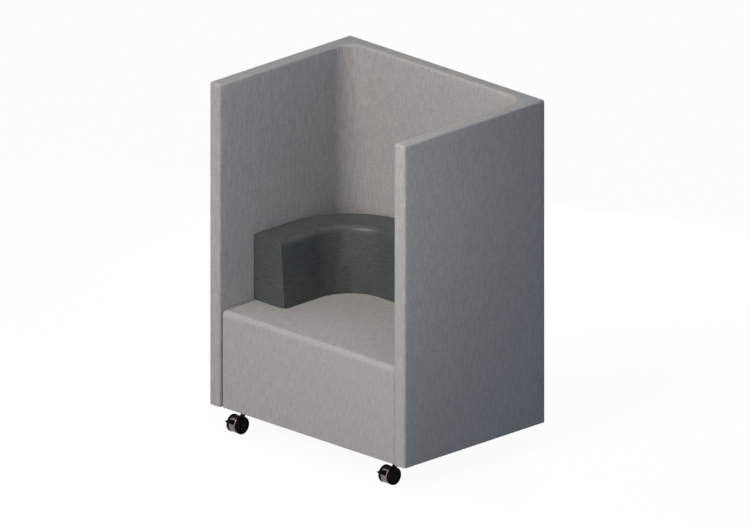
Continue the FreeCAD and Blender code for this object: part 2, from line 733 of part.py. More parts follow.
piece("cushion_board", cushion_base)
piece("cushion_foam", join("Cut", "cushion_foam_cut", cushion_padding, cushion_base))

strip_foot = "(Dims.seat_height + Dims.grip_strip_rise)"
strip_height = (strip_foot, f"({strip_foot} + Dims.grip_strip_height)")
strip_start = f"({cushion_front_y} + Dims.grip_strip_inset)"
strip_depth = (strip_start, f"({strip_start} + Dims.grip_strip_length)")
strips = []
for side in (-1, 1):
    strips.append(block("side_strip", span_on(side, cushion_x, inner_x), strip_depth, strip_height))
strips.append(block("back_strip", ("-Dims.grip_strip_length / 2", "Dims.grip_strip_length / 2"),
                    (cushion_y, inner_y), strip_height))
piece("cushion_grip_strips", group("strip_set", strips))

# Castors: a threaded stem in the seat box, a hood that swivels on it, and two wheels on one axle

axle_z = "(Dims.wheel_diameter / 2)"
hood_x = "(Dims.castor_width / 2 - Dims.wheel_width - Dims.wheel_gap)"
hood_radius = f"({axle_z} - Dims.hood_inset)"
boss_bottom = f"({axle_z} - Dims.boss_drop)"
collar_bottom = f"({frame_z} - Dims.collar_height)"
boss_top = f"({collar_bottom} - Dims.swivel_gap)"
pin_bottom = f"({boss_bottom} + Dims.boss_floor)"
collar_radius = f"({boss_radius} - Dims.collar_step)"
lever_y = f"(Dims.lever_pivot_depth - {hood_radius})"
lever_z = f"({axle_z} + {hood_radius} - Dims.lever_pivot_drop)"
slot_x = f"({hood_x} - Dims.hood_wall)"


def make_stem(name, x, y):
    """Black collar and threaded end, fixed in the castor board, with the swivel pin below."""
    body = doc.addObject("PartDesign::Body", name + "_stem_body")
    thread_top = f"({board_top} + Dims.tee_nut_flange + Dims.stem_overrun)"
    profile = [
        ("0", pin_bottom, None),
        ("Dims.stem_pin_radius", pin_bottom, None),
        ("Dims.stem_pin_radius", collar_bottom, None),
        (collar_radius, collar_bottom, None),
        (collar_radius, frame_z, None),
        ("Dims.stem_thread_radius", frame_z, None),
        ("Dims.stem_thread_radius", thread_top, None),
        ("0", thread_top, None),
    ]
    turn(body, outline(sketch_on(body, "XZ_Plane", x=x, z=f"-({y})"), profile), "V_Axis")
    return piece(name + "_stem", body)


def make_tee_nut(name, x, y):
    """Threaded nut pressed into the castor board from above."""
    body = doc.addObject("PartDesign::Body", name + "_tee_nut")
    bore = "(Dims.stem_thread_radius + Dims.fit_clearance)"
    foot = f"({board_top} - Dims.tee_nut_length)"
    head = f"({board_top} + Dims.tee_nut_flange)"
    profile = [
        (bore, foot, None),
        ("Dims.tee_nut_radius", foot, None),
        ("Dims.tee_nut_radius", board_top, None),
        ("Dims.tee_nut_flange_radius", board_top, None),
        ("Dims.tee_nut_flange_radius", head, None),
        (bore, head, None),
    ]
    turn(body, outline(sketch_on(body, "XZ_Plane", x=x, z=f"-({y})"), profile), "V_Axis")
    return body


def make_hood(name, x, y, braked):
    """Chromed drum between the wheels with the swivel boss behind; a slot in front takes the brake lever."""
    body = doc.addObject("PartDesign::Body", name + "_hood_body")
    axle_y = f"({y} - Dims.castor_trail)"
    drum = disc(sketch_on(body, "YZ_Plane", z=f"{x} - {hood_x}"), axle_y, axle_z, hood_radius)
    pad(body, drum, f"2 * {hood_x}")
    faces = [value(f"{x} - {hood_x}"), value(f"{x} + {hood_x}")]
    round_edges(body, "Dims.hood_edge_round", lambda edge: any(lies(edge, x=face) for face in faces))
    boss = disc(sketch_on(body, "XY_Plane", z=boss_bottom), x, y, boss_radius)
    pad(body, boss, f"{boss_top} - {boss_bottom}")
    pin_room = "Dims.stem_pin_radius + Dims.fit_clearance"
    pocket(body, disc(sketch_on(body, "XY_Plane", z=boss_top), x, y, pin_room),
           f"{boss_top} - {pin_bottom} + Dims.swivel_gap")
    outer_face = f"{x} + {hood_x}"
    axle_room = disc(sketch_on(body, "YZ_Plane", z=outer_face), axle_y, axle_z,
                     "Dims.axle_radius + Dims.fit_clearance")
    pocket(body, axle_room, f"2 * {hood_x}")
    if braked:
        pin_hole = disc(sketch_on(body, "YZ_Plane", z=outer_face), f"{axle_y} + {lever_y}", lever_z,
                        "Dims.lever_pin_radius + Dims.fit_clearance")
        pocket(body, pin_hole, f"2 * {hood_x}")
        mouth = f"{axle_y} - {hood_radius} - Dims.overrun"
        rear = f"{axle_y} + {lever_y} + Dims.lever_slot_behind"
        slot = [
            (mouth, f"{lever_z} - Dims.lever_slot_below", None),
            (rear, f"{lever_z} - Dims.lever_slot_below", None),
            (rear, f"{lever_z} + Dims.lever_slot_above", None),
            (mouth, f"{lever_z} + Dims.lever_slot_above", None),
        ]
        pocket(body, outline(sketch_on(body, "YZ_Plane", z=f"{x} + {slot_x}"), slot), f"2 * {slot_x}")
    return piece(name + "_hood", body)


def make_axle(name, x, y):
    """Riveted axle: its heads lie in the dished wheel faces."""
    body = doc.addObject("PartDesign::Body", name + "_axle_body")
    under_head = "(Dims.castor_width / 2 - Dims.wheel_dish + Dims.axle_head_gap)"
    end = f"({under_head} + Dims.axle_head)"
    profile = [
        (f"-{end}", "0", None),
        (end, "0", None),
        (end, "Dims.axle_head_radius", None),
        (under_head, "Dims.axle_head_radius", None),
        (under_head, "Dims.axle_radius", None),
        (f"-{under_head}", "Dims.axle_radius", None),
        (f"-{under_head}", "Dims.axle_head_radius", None),
        (f"-{end}", "Dims.axle_head_radius", None),
    ]
    sketch = sketch_on(body, "XY_Plane", x=x, y=f"{y} - Dims.castor_trail", z=axle_z)
    turn(body, outline(sketch, profile), "H_Axis")
    return piece(name + "_axle", body)


def make_wheel(name, side, x, y):
    """Moulded wheel with rounded tread edges and a dished outer face."""
    body = doc.addObject("PartDesign::Body", name + "_body")
    bore = "(Dims.axle_radius + Dims.fit_clearance)"
    inner = f"({side} * (Dims.castor_width / 2 - Dims.wheel_width))"
    outer = f"({side} * Dims.castor_width / 2)"
    dish = f"({side} * (Dims.castor_width / 2 - Dims.wheel_dish))"
    rim = f"({axle_z} - Dims.wheel_rim)"
    profile = [
        (inner, bore, None),
        (inner, axle_z, "Dims.wheel_edge_round"),
        (outer, axle_z, "Dims.wheel_edge_round"),
        (outer, rim, None),
        (dish, f"({rim} - Dims.wheel_dish)", None),
        (dish, bore, None),
    ]
    sketch = sketch_on(body, "XY_Plane", x=x, y=f"{y} - Dims.castor_trail", z=axle_z)
    turn(body, outline(sketch, profile), "H_Axis")
    return piece(name, body)


def make_lever(name, x, y):
    """Brake pedal: a boss on the pin inside the hood and a foot plate that reaches out in front."""
    body = doc.addObject("PartDesign::Body", name + "_lever_body")
    axle_y = f"({y} - Dims.castor_trail)"
    pivot_y = f"({axle_y} + {lever_y})"
    tip_y = f"{axle_y} - Dims.lever_length"
    tip_z = f"({axle_z} + Dims.lever_tip_rise)"
    half_x = f"({slot_x} - Dims.lever_side_gap)"
    profile = [
        (f"{pivot_y} + Dims.lever_boss", f"{lever_z} - Dims.lever_boss", "Dims.lever_boss_round"),
        (f"{pivot_y} + Dims.lever_boss", f"{lever_z} + Dims.lever_boss", "Dims.lever_boss_round"),
        (tip_y, f"{tip_z} + Dims.lever_tip_thickness / 2", "Dims.lever_tip_round"),
        (tip_y, f"{tip_z} - Dims.lever_tip_thickness / 2", "Dims.lever_tip_round"),
    ]
    pad(body, outline(sketch_on(body, "YZ_Plane", z=f"{x} - {half_x}"), profile), f"2 * {half_x}")
    pin_hole = disc(sketch_on(body, "YZ_Plane", z=f"{x} + {half_x}"), pivot_y, lever_z,
                    "Dims.lever_pin_radius + Dims.fit_clearance")
    pocket(body, pin_hole, f"2 * {half_x}")
    piece(name + "_brake_lever", body)
    lever_pin = rod(name + "_pin", "x", (f"({x} - {hood_x})", f"({x} + {hood_x})"), "Dims.lever_pin_radius",
                    y=pivot_y, z=lever_z)
    return piece(name + "_lever_pin", lever_pin)


tee_nuts = []
board_drills = []
collar_drills = []
for end in ("front", "rear"):
    for side, hand in ((-1, "left"), (1, "right")):
        name = f"{end}_{hand}"
        stem_x = f"({side} * ({bay_x} - Dims.{end}_castor_side_inset))"
        stem_y = f"({bay_front_y} + Dims.front_castor_inset)"
        if end == "rear":
            stem_y = f"({bay_rear_y} - Dims.rear_castor_inset)"
        make_stem(name, stem_x, stem_y)
        make_hood(name, stem_x, stem_y, braked=end == "front")
        make_axle(name, stem_x, stem_y)
        make_wheel(name + "_wheel_a", -1, stem_x, stem_y)
        make_wheel(name + "_wheel_b", 1, stem_x, stem_y)
        if end == "front":
            make_lever(name, stem_x, stem_y)
        tee_nuts.append(make_tee_nut(name, stem_x, stem_y))
        board_drills.append(rod("board_drill", "z", (frame_z, board_top),
                                "Dims.tee_nut_radius + Dims.fit_clearance", x=stem_x, y=stem_y))
        collar_drills.append(rod("collar_drill", "z", (base_z, frame_z),
                                 f"{collar_radius} + Dims.collar_hole_gap", x=stem_x, y=stem_y))
piece("castor_tee_nuts", group("tee_nut_set", tee_nuts))
board_drill_set = group("board_drill_set", board_drills)

board_height = (frame_z, board_top)
front_board = block("front_board_blank", (f"-{bay_x}", bay_x),
                    (bay_front_y, f"({bay_front_y} + Dims.castor_board_width)"), board_height)
rear_board = block("rear_board_blank", (f"-{bay_x}", bay_x),
                   (f"({bay_rear_y} - Dims.castor_board_width)", bay_rear_y), board_height)
piece("front_castor_board", join("Cut", "front_board", front_board, board_drill_set))
piece("rear_castor_board", join("Cut", "rear_board", rear_board, board_drill_set))

dust_blank = block("dust_blank", (f"-{frame_x}", frame_x), (frame_front_y, frame_rear_y), (base_z, frame_z))
piece("dust_cover", join("Cut", "dust_sheet_cut", dust_blank, group("collar_drill_set", collar_drills)))

# Everything sound, then one file for each sub-part

doc.recompute()
for item in doc.Objects:
    if "Invalid" in item.State or "Error" in item.State:
        raise RuntimeError("Failed object: " + item.Label)
for item in pieces:
    if item.Shape.isNull() or not item.Shape.isValid():
        raise RuntimeError("Unsound sub-part: " + item.Label)

os.makedirs("parts", exist_ok=True)
for item in pieces:
    item.Shape.exportStep(f"parts/{item.Label}.step")
    print(item.Label, len(item.Shape.Solids), round(item.Shape.Volume))
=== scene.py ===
import bmesh
import bpy
import math
import numpy as np
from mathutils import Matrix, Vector


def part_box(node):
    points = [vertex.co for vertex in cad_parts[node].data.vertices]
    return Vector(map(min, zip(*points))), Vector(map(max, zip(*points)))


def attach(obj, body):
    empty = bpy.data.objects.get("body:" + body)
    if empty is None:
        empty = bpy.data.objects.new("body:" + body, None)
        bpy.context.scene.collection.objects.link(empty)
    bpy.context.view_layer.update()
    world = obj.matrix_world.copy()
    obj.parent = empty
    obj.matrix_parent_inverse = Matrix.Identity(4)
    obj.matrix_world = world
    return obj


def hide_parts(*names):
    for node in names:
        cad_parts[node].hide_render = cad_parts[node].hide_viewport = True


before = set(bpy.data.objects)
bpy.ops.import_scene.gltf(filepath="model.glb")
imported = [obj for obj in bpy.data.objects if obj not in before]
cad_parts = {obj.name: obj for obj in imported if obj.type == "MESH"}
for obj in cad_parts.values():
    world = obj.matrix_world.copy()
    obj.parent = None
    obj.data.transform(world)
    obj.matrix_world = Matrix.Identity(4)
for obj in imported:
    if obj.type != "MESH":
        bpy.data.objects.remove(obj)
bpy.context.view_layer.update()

# Seat box carcass
# Rails, deck, corner blocks and castor boards are cut from birch plywood, glued and screwed into a box.
# The cushion's base is the same board. All of it ends up under fabric.

MILLIMETRE = 0.001


def linear(code):
    """Linear colour from an sRGB hex value."""
    shares = [int(code[place:place + 2], 16) / 255 for place in (1, 3, 5)]
    curve = [share / 12.92 if share <= 0.04045 else ((share + 0.055) / 1.055) ** 2.4 for share in shares]
    return (*curve, 1.0)


def add_node(tree, kind, settings=None, links=None):
    """Add a node with its properties and input values, and link its inputs to other nodes' outputs."""
    node = tree.nodes.new(kind)
    for name, number in (settings or {}).items():
        if isinstance(name, str) and hasattr(node, name):
            setattr(node, name, number)
        else:
            node.inputs[name].default_value = number
    for name, source in (links or {}).items():
        tree.links.new(source, node.inputs[name])
    return node


def new_material(name, settings):
    """Material with a surface shader whose plain values are set on its own sockets."""
    material = bpy.data.materials.new(name)
    material.use_nodes = True
    shader = material.node_tree.nodes["Principled BSDF"]
    for socket, number in settings.items():
        shader.inputs[socket].default_value = number
    return material, material.node_tree, shader


def dress(material, *nodes):
    """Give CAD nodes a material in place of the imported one."""
    for name in nodes:
        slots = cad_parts[name].data.materials
        slots.clear()
        slots.append(material)


def birch_plywood():
    """Birch plywood, sanded: pale tan with long fine grain lines and no gloss."""
    grain_width = 4 * MILLIMETRE
    grain_length = 160 * MILLIMETRE
    material, tree, shader = new_material("birch_plywood", {"Roughness": 0.62})
    place = add_node(tree, "ShaderNodeTexCoord")
    spread = (1 / grain_length, 1 / grain_width, 1 / grain_width)
    stretch = add_node(tree, "ShaderNodeMapping", {"Scale": spread}, {"Vector": place.outputs["Object"]})
    grain = add_node(tree, "ShaderNodeTexNoise", {"Scale": 1.0, "Detail": 4.0},
                     {"Vector": stretch.outputs[0]})
    tint = add_node(tree, "ShaderNodeMix", {"data_type": "RGBA", 6: linear("#A87F50"), 7: linear("#D9B887")},
                    {0: grain.outputs["Fac"]})
    relief = add_node(tree, "ShaderNodeBump", {"Strength": 0.15, "Distance": 0.3 * MILLIMETRE},
                      {"Height": grain.outputs["Fac"]})
    tree.links.new(tint.outputs[2], shader.inputs["Base Color"])
    tree.links.new(relief.outputs[0], shader.inputs["Normal"])
    return material


dress(birch_plywood(), "front_rail", "rear_rail", "left_rail", "right_rail", "centre_rail", "seat_deck",
      "corner_blocks", "front_castor_board", "rear_castor_board", "cushion_board")

# Panel cores
# The three panels of the screen are light chipboard, sawn to size and joined at the back corners with
# long screws. Foam and cloth hide them.


def chipboard():
    """Raw chipboard: pressed flakes, some pale and some brown, with a dry surface."""
    flake = 5 * MILLIMETRE
    material, tree, shader = new_material("raw_chipboard", {"Roughness": 0.8})
    place = add_node(tree, "ShaderNodeTexCoord")
    flakes = add_node(tree, "ShaderNodeTexVoronoi", {"Scale": 1 / flake}, {"Vector": place.outputs["Object"]})
    tint = add_node(tree, "ShaderNodeMix", {"data_type": "RGBA", 6: linear("#8E6C45"), 7: linear("#C9A877")},
                    {0: flakes.outputs["Color"]})
    relief = add_node(tree, "ShaderNodeBump", {"Strength": 0.3, "Distance": 0.4 * MILLIMETRE},
                      {"Height": flakes.outputs["Distance"]})
    tree.links.new(tint.outputs[2], shader.inputs["Base Color"])
    tree.links.new(relief.outputs[0], shader.inputs["Normal"])
    return material


dress(chipboard(), "left_panel_core", "right_panel_core", "back_panel_core")

# Screws, bolts, sleeves, nuts and lever pins
# Turned and rolled steel parts with a thin zinc plating. They hold the panels, the box and the deck
# together, take the castor stems, and carry the brake levers.


def zinc_plated_steel():
    """Zinc-plated steel: a cool grey metal with faint cloudy patches in its gloss."""
    patch = 6 * MILLIMETRE
    material, tree, shader = new_material("zinc_plated_steel", {"Metallic": 1.0})
    place = add_node(tree, "ShaderNodeTexCoord")
    cloud = add_node(tree, "ShaderNodeTexNoise", {"Scale": 1 / patch}, {"Vector": place.outputs["Object"]})
    tint = add_node(tree, "ShaderNodeMix", {"data_type": "RGBA", 6: linear("#9DA2A6"), 7: linear("#C3C6C8")},
                    {0: cloud.outputs["Fac"]})
    gloss = add_node(tree, "ShaderNodeMapRange", {"To Min": 0.25, "To Max": 0.45},
                     {"Value": cloud.outputs["Fac"]})
    tree.links.new(tint.outputs[2], shader.inputs["Base Color"])
    tree.links.new(gloss.outputs[0], shader.inputs["Roughness"])
    return material


dress(zinc_plated_steel(), "panel_corner_screws", "deck_screws", "base_bolts", "base_spacers",
      "core_insert_nuts", "castor_tee_nuts", "front_left_lever_pin", "front_right_lever_pin")

# Padding
# Polyurethane foam, cut from sheet for the panels, the seat and its front rail and moulded for the
# cushion. It is glued to the boards, and all of it is covered.


def upholstery_foam():
    """Open-cell polyurethane foam: cream, full of small dark cells."""
    cell = 2 * MILLIMETRE
    material, tree, shader = new_material("upholstery_foam", {"Roughness": 0.9})
    place = add_node(tree, "ShaderNodeTexCoord")
    cells = add_node(tree, "ShaderNodeTexVoronoi", {"Scale": 1 / cell}, {"Vector": place.outputs["Object"]})
    tint = add_node(tree, "ShaderNodeMix", {"data_type": "RGBA", 6: linear("#B9A779"), 7: linear("#EFE3BE")},
                    {0: cells.outputs["Distance"]})
    relief = add_node(tree, "ShaderNodeBump", {"Strength": 0.5, "Distance": 0.6 * MILLIMETRE},
                      {"Height": cells.outputs["Distance"]})
    tree.links.new(tint.outputs[2], shader.inputs["Base Color"])
    tree.links.new(relief.outputs[0], shader.inputs["Normal"])
    return material


dress(upholstery_foam(), "left_panel_foam", "right_panel_foam", "back_panel_foam", "seat_foam", "front_pad",
      "cushion_foam")

# Screen
# One sock of grey woven cloth over the three padded panels, drawn tight, soft along the rim and the
# mouth and coved in the two inside corners. It is tucked in under the panels round the base strip.

SPECK = 0.02 * MILLIMETRE
COVE_RADIUS = 75 * MILLIMETRE
COVE_STEPS = 14
SEAT_CLEARANCE = 3 * MILLIMETRE
RIM_ROUND = 9 * MILLIMETRE
MOUTH_ROUND = 6 * MILLIMETRE
OUTER_ROUND = 8 * MILLIMETRE
TUCK_WIDTH = 1.5 * MILLIMETRE
TUCK_DEPTH = 3.3 * MILLIMETRE
PANEL_GRID = 35 * MILLIMETRE
FLAT_JOINT = math.radians(1)
QUARTER_TURN = math.radians(90)


def near(one, other):
    """True if two places are the same."""
    return abs(one - other) < SPECK


def lies(part, **place):
    """True if a vertex, edge or face lies wholly at the given coordinates."""
    corners = [part] if isinstance(part, bmesh.types.BMVert) else part.verts
    return all(near(getattr(corner.co, axis), number)
               for corner in corners for axis, number in place.items())


def pick(kind, wanted):
    """In edit mode, select just the vertices, edges or faces that a test on their place wants."""
    bpy.ops.mesh.select_mode(type=kind)
    bpy.ops.mesh.select_all(action="DESELECT")
    shape = bmesh.from_edit_mesh(bpy.context.object.data)
    for part in {"VERT": shape.verts, "EDGE": shape.edges, "FACE": shape.faces}[kind]:
        if wanted(part):
            part.select_set(True)
    bmesh.update_edit_mesh(bpy.context.object.data)


def cut(axis, number):
    """In edit mode, score the whole mesh along a plane across one axis."""
    bpy.ops.mesh.select_all(action="SELECT")
    normal = Vector([float(letter == axis) for letter in "xyz"])
    bpy.ops.mesh.bisect(plane_co=normal * number, plane_no=normal)


def start_piece(name, add, low, high):
    """Add a unit primitive, fit it between two corners and open it for editing."""
    bpy.ops.object.select_all(action="DESELECT")
    add(size=1, location=(low + high) / 2)
    piece = bpy.context.object
    piece.name = name
    piece.scale = high - low
    bpy.ops.object.transform_apply(location=True, rotation=True, scale=True)
    bpy.ops.object.mode_set(mode="EDIT")
    return piece


screen_low, screen_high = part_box("screen_cover")
strips_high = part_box("cushion_grip_strips")[1]
inner_x = strips_high.x
inner_y = strips_high.y
cove_x = inner_x - COVE_RADIUS
cove_y = inner_y - COVE_RADIUS
cove_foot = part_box("cushion_cover")[0].z + SEAT_CLEARANCE


def on_side_front(edge):
    """Free front edges of the two side panels as they grow forwards from the back panel."""
    level = lies(edge, y=edge.verts[0].co.y) and edge.verts[0].co.y < inner_y + SPECK
    return level and edge.is_boundary and min(abs(corner.co.x) for corner in edge.verts) > inner_x - SPECK


screen = start_piece("screen", bpy.ops.mesh.primitive_plane_add, Vector((screen_low.x, inner_y, cove_foot)),
                     Vector((screen_high.x, screen_high.y, cove_foot)))
for across in (-inner_x, -cove_x, cove_x, inner_x):
    cut("x", across)
for reach in (cove_y - inner_y, screen_low.y - cove_y):
    pick("EDGE", on_side_front)
    bpy.ops.mesh.extrude_region_move(TRANSFORM_OT_translate={"value": (0, reach, 0)})
for side in (-1, 1):
    pick("VERT", lambda vertex: lies(vertex, x=side * inner_x, y=cove_y))
    bpy.ops.mesh.spin(steps=COVE_STEPS, angle=-side * QUARTER_TURN, axis=(0, 0, 1),
                      center=(side * cove_x, cove_y, cove_foot))
    bpy.ops.mesh.select_all(action="SELECT")
    bpy.ops.mesh.remove_doubles(threshold=SPECK)
    pick("EDGE", lambda edge: all(cove_x - SPECK < side * corner.co.x < inner_x + SPECK
                                  and cove_y - SPECK < corner.co.y < inner_y + SPECK
                                  for corner in edge.verts))
    bpy.ops.mesh.edge_face_add()
bpy.ops.mesh.select_all(action="SELECT")
bpy.ops.mesh.extrude_region_move(TRANSFORM_OT_translate={"value": (0, 0, screen_high.z - cove_foot)})
pick("FACE", lambda face: lies(face, z=cove_foot) and len(face.verts) < COVE_STEPS)
bpy.ops.mesh.extrude_region_move(TRANSFORM_OT_translate={"value": (0, 0, screen_low.z - cove_foot)})
bpy.ops.mesh.select_all(action="SELECT")
bpy.ops.mesh.remove_doubles(threshold=SPECK)
bpy.ops.mesh.normals_make_consistent(inside=False)
bpy.ops.mesh.dissolve_limited(angle_limit=FLAT_JOINT)


def on_mouth(edge):
    """Upright edges of the mouth."""
    return lies(edge, x=inner_x, y=screen_low.y) or lies(edge, x=-inner_x, y=screen_low.y)


def on_inner_rim(edge):
    """Edges of the rim that face the sitter."""
    outer = lies(edge, y=screen_high.y) or lies(edge, x=screen_high.x) or lies(edge, x=screen_low.x)
    return lies(edge, z=screen_high.z) and not outer


def on_outer_edge(edge):
    """Edges of the rim, the front and the back corners that face away from the sitter."""
    standing = edge.verts[0].co.z > screen_low.z + SPECK or edge.verts[1].co.z > screen_low.z + SPECK
    side = lies(edge, x=screen_low.x) or lies(edge, x=screen_high.x)
    return standing and (side or lies(edge, y=screen_high.y, z=screen_high.z))


def soften(piece, *rounds, segments):
    """In edit mode, round edges with a bevel: each test picks the edges that get its radius."""
    widest = max(radius for wanted, radius in rounds)
    for wanted, radius in rounds:
        pick("EDGE", wanted)
        bpy.ops.transform.edge_bevelweight(value=radius / widest)
    bpy.ops.object.mode_set(mode="OBJECT")
    bpy.ops.object.modifier_add(type="BEVEL")
    bevel = piece.modifiers[-1]
    bevel.limit_method = "WEIGHT"
    bevel.width = widest
    bevel.segments = segments
    bpy.ops.object.modifier_apply(modifier=bevel.name)
    bpy.ops.object.mode_set(mode="EDIT")


soften(screen, (on_mouth, MOUTH_ROUND), (on_inner_rim, RIM_ROUND), (on_outer_edge, OUTER_ROUND), segments=6)
pick("FACE", lambda face: lies(face, z=screen_low.z))
bpy.ops.mesh.inset(thickness=TUCK_WIDTH)
bpy.ops.transform.translate(value=(0, 0, TUCK_DEPTH))


def score(axis, low, high, pitch):
    """In edit mode, score the mesh into strips of about one pitch between two places."""
    count = round((high - low) / pitch)
    for step in range(1, count):
        cut(axis, low + (high - low) * step / count)


def points_of(piece):
    """Places of all points of a mesh, one row each."""
    rows = np.empty(3 * len(piece.data.vertices))
    piece.data.vertices.foreach_get("co", rows)
    return rows.reshape(-1, 3)


def set_points(piece, rows):
    """Move all points of a mesh."""
    piece.data.vertices.foreach_set("co", rows.ravel())
    piece.data.update()


def normals_of(piece):
    """Outward direction at all points of a mesh, one row each."""
    rows = np.empty(3 * len(piece.data.vertices))
    piece.data.vertex_normals.foreach_get("vector", rows)
    return rows.reshape(-1, 3)


def plump(piece, held, swell):
    """Swell a padded piece as cloth under air pressure: held points stay and the softest moves by swell.
    Cloth that would pull in stays on the padding."""
    start = points_of(piece)
    outward = normals_of(piece)
    group = piece.vertex_groups.new(name="held")
    group.add([int(number) for number in np.nonzero(held)[0]], 1.0, "REPLACE")
    bpy.ops.object.modifier_add(type="CLOTH")
    cloth = piece.modifiers[-1]
    cloth.settings.use_pressure = True
    cloth.settings.uniform_pressure_force = SWELL_PRESSURE
    cloth.settings.effector_weights.gravity = 0
    cloth.settings.vertex_group_mass = group.name
    cloth.point_cache.frame_end = SWELL_FRAMES
    for number in range(1, SWELL_FRAMES + 1):
        bpy.context.scene.frame_set(number)
    bpy.ops.object.modifier_apply(modifier=cloth.name)
    piece.vertex_groups.clear()
    rise = np.maximum(((points_of(piece) - start) * outward).sum(axis=1), 0)
    set_points(piece, start + outward * (swell * rise / rise.max())[:, np.newaxis])
    bpy.context.scene.frame_set(1)


def lay_cloth(piece, across, off, along):
    """Store where each point lies on its cloth: across the warp threads, off the face, and along them."""
    places = piece.data.attributes.new("cloth", "FLOAT_VECTOR", "POINT")
    places.data.foreach_set("vector", np.stack([across, off, along], axis=1).astype(np.float32).ravel())


def woven_cloth(name, deep, pale, thread, warp_slub, weft_slub, warp_share, relief_depth, plain):
    """Woven upholstery cloth: slubs, thicker or darker stretches of yarn, show as streaks along the warp
    and the weft, and the threads cross over and under. The thread is drawn wider than real, to show."""
    material, tree, shader = new_material(name, plain)
    place = add_node(tree, "ShaderNodeAttribute", {"attribute_name": "cloth"})
    streaks = []
    for scale in ((1 / thread, 1 / thread, 1 / warp_slub), (1 / weft_slub, 1 / weft_slub, 1 / thread)):
        stretch = add_node(tree, "ShaderNodeMapping", {"Scale": scale}, {"Vector": place.outputs["Vector"]})
        streaks.append(add_node(tree, "ShaderNodeTexNoise", {"Scale": 1.0, "Detail": 3.0, "Roughness": 0.65},
                                {"Vector": stretch.outputs[0]}))
    yarn = add_node(tree, "ShaderNodeMix", {0: warp_share},
                    {2: streaks[1].outputs["Fac"], 3: streaks[0].outputs["Fac"]})
    shade = add_node(tree, "ShaderNodeMapRange", {"From Min": DARKEST_YARN, "From Max": PALEST_YARN},
                     {"Value": yarn.outputs[0]})
    tint = add_node(tree, "ShaderNodeMix", {"data_type": "RGBA", 6: linear(deep), 7: linear(pale)},
                    {0: shade.outputs[0]})
    axes = add_node(tree, "ShaderNodeSeparateXYZ", links={"Vector": place.outputs["Vector"]})
    level = add_node(tree, "ShaderNodeMath", {"operation": "ADD"},
                     {0: axes.outputs["X"], 1: axes.outputs["Y"]})
    waves = []
    for source in (level.outputs[0], axes.outputs["Z"]):
        turns = add_node(tree, "ShaderNodeMath", {"operation": "MULTIPLY", 1: 2 * math.pi / thread},
                         {0: source})
        waves.append(add_node(tree, "ShaderNodeMath", {"operation": "SINE"}, {0: turns.outputs[0]}))
    crossing = add_node(tree, "ShaderNodeMath", {"operation": "MULTIPLY"},
                        {0: waves[0].outputs[0], 1: waves[1].outputs[0]})
    height = add_node(tree, "ShaderNodeMath", {"operation": "MULTIPLY_ADD", 1: CROSSING_SHARE},
                      {0: crossing.outputs[0], 2: yarn.outputs[0]})
    relief = add_node(tree, "ShaderNodeBump", {"Strength": 1.0, "Distance": relief_depth},
                      {"Height": height.outputs[0]})
    tree.links.new(tint.outputs[2], shader.inputs["Base Color"])
    tree.links.new(relief.outputs[0], shader.inputs["Normal"])
    return material


def finish_cloth(piece, material, replaced):
    """Shade a cloth piece smooth, dress it, and put it in place of its plain CAD solid."""
    bpy.ops.object.shade_smooth_by_angle(angle=SMOOTH_ANGLE)
    piece.data.materials.append(material)
    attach(piece, "booth")
    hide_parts(replaced)


DARKEST_YARN = 0.32
PALEST_YARN = 0.68
CROSSING_SHARE = 0.25
SMOOTH_ANGLE = math.radians(40)
FLAT_NORMAL = 0.9999
SWELL_PRESSURE = 4.0
SWELL_FRAMES = 20
PANEL_SWELL = 0.6 * MILLIMETRE

for axis in "xyz":
    score(axis, getattr(screen_low, axis), getattr(screen_high, axis), PANEL_GRID)
bpy.ops.object.mode_set(mode="OBJECT")
plump(screen, np.abs(normals_of(screen)).max(axis=1) < FLAT_NORMAL, PANEL_SWELL)
lay_cloth(screen, *points_of(screen).T)
grey_melange = woven_cloth("grey_wool_melange", "#928F8C", "#B2AEA9", thread=3.6 * MILLIMETRE,
                           warp_slub=45 * MILLIMETRE, weft_slub=25 * MILLIMETRE, warp_share=0.65,
                           relief_depth=1.5 * MILLIMETRE,
                           plain={"Roughness": 0.75, "Specular IOR Level": 0.06})
finish_cloth(screen, grey_melange, "screen_cover")

# Base strip and dust cover
# A black strip of moulded edging closes the panels' undersides, and a black felted sheet is stapled
# under the seat box. The cushion's hook-and-loop strips are the same black cloth.


def black_felt():
    """Spun black felt: matt, with a fine pressed fleck."""
    fleck = 1.5 * MILLIMETRE
    material, tree, shader = new_material("black_felt", {"Roughness": 0.95, "Specular IOR Level": 0.1})
    place = add_node(tree, "ShaderNodeTexCoord")
    flecks = add_node(tree, "ShaderNodeTexNoise", {"Scale": 1 / fleck, "Detail": 2.0},
                      {"Vector": place.outputs["Object"]})
    tint = add_node(tree, "ShaderNodeMix", {"data_type": "RGBA", 6: linear("#121212"), 7: linear("#2A2A2B")},
                    {0: flecks.outputs["Fac"]})
    relief = add_node(tree, "ShaderNodeBump", {"Strength": 0.4, "Distance": 0.3 * MILLIMETRE},
                      {"Height": flecks.outputs["Fac"]})
    tree.links.new(tint.outputs[2], shader.inputs["Base Color"])
    tree.links.new(relief.outputs[0], shader.inputs["Normal"])
    return material


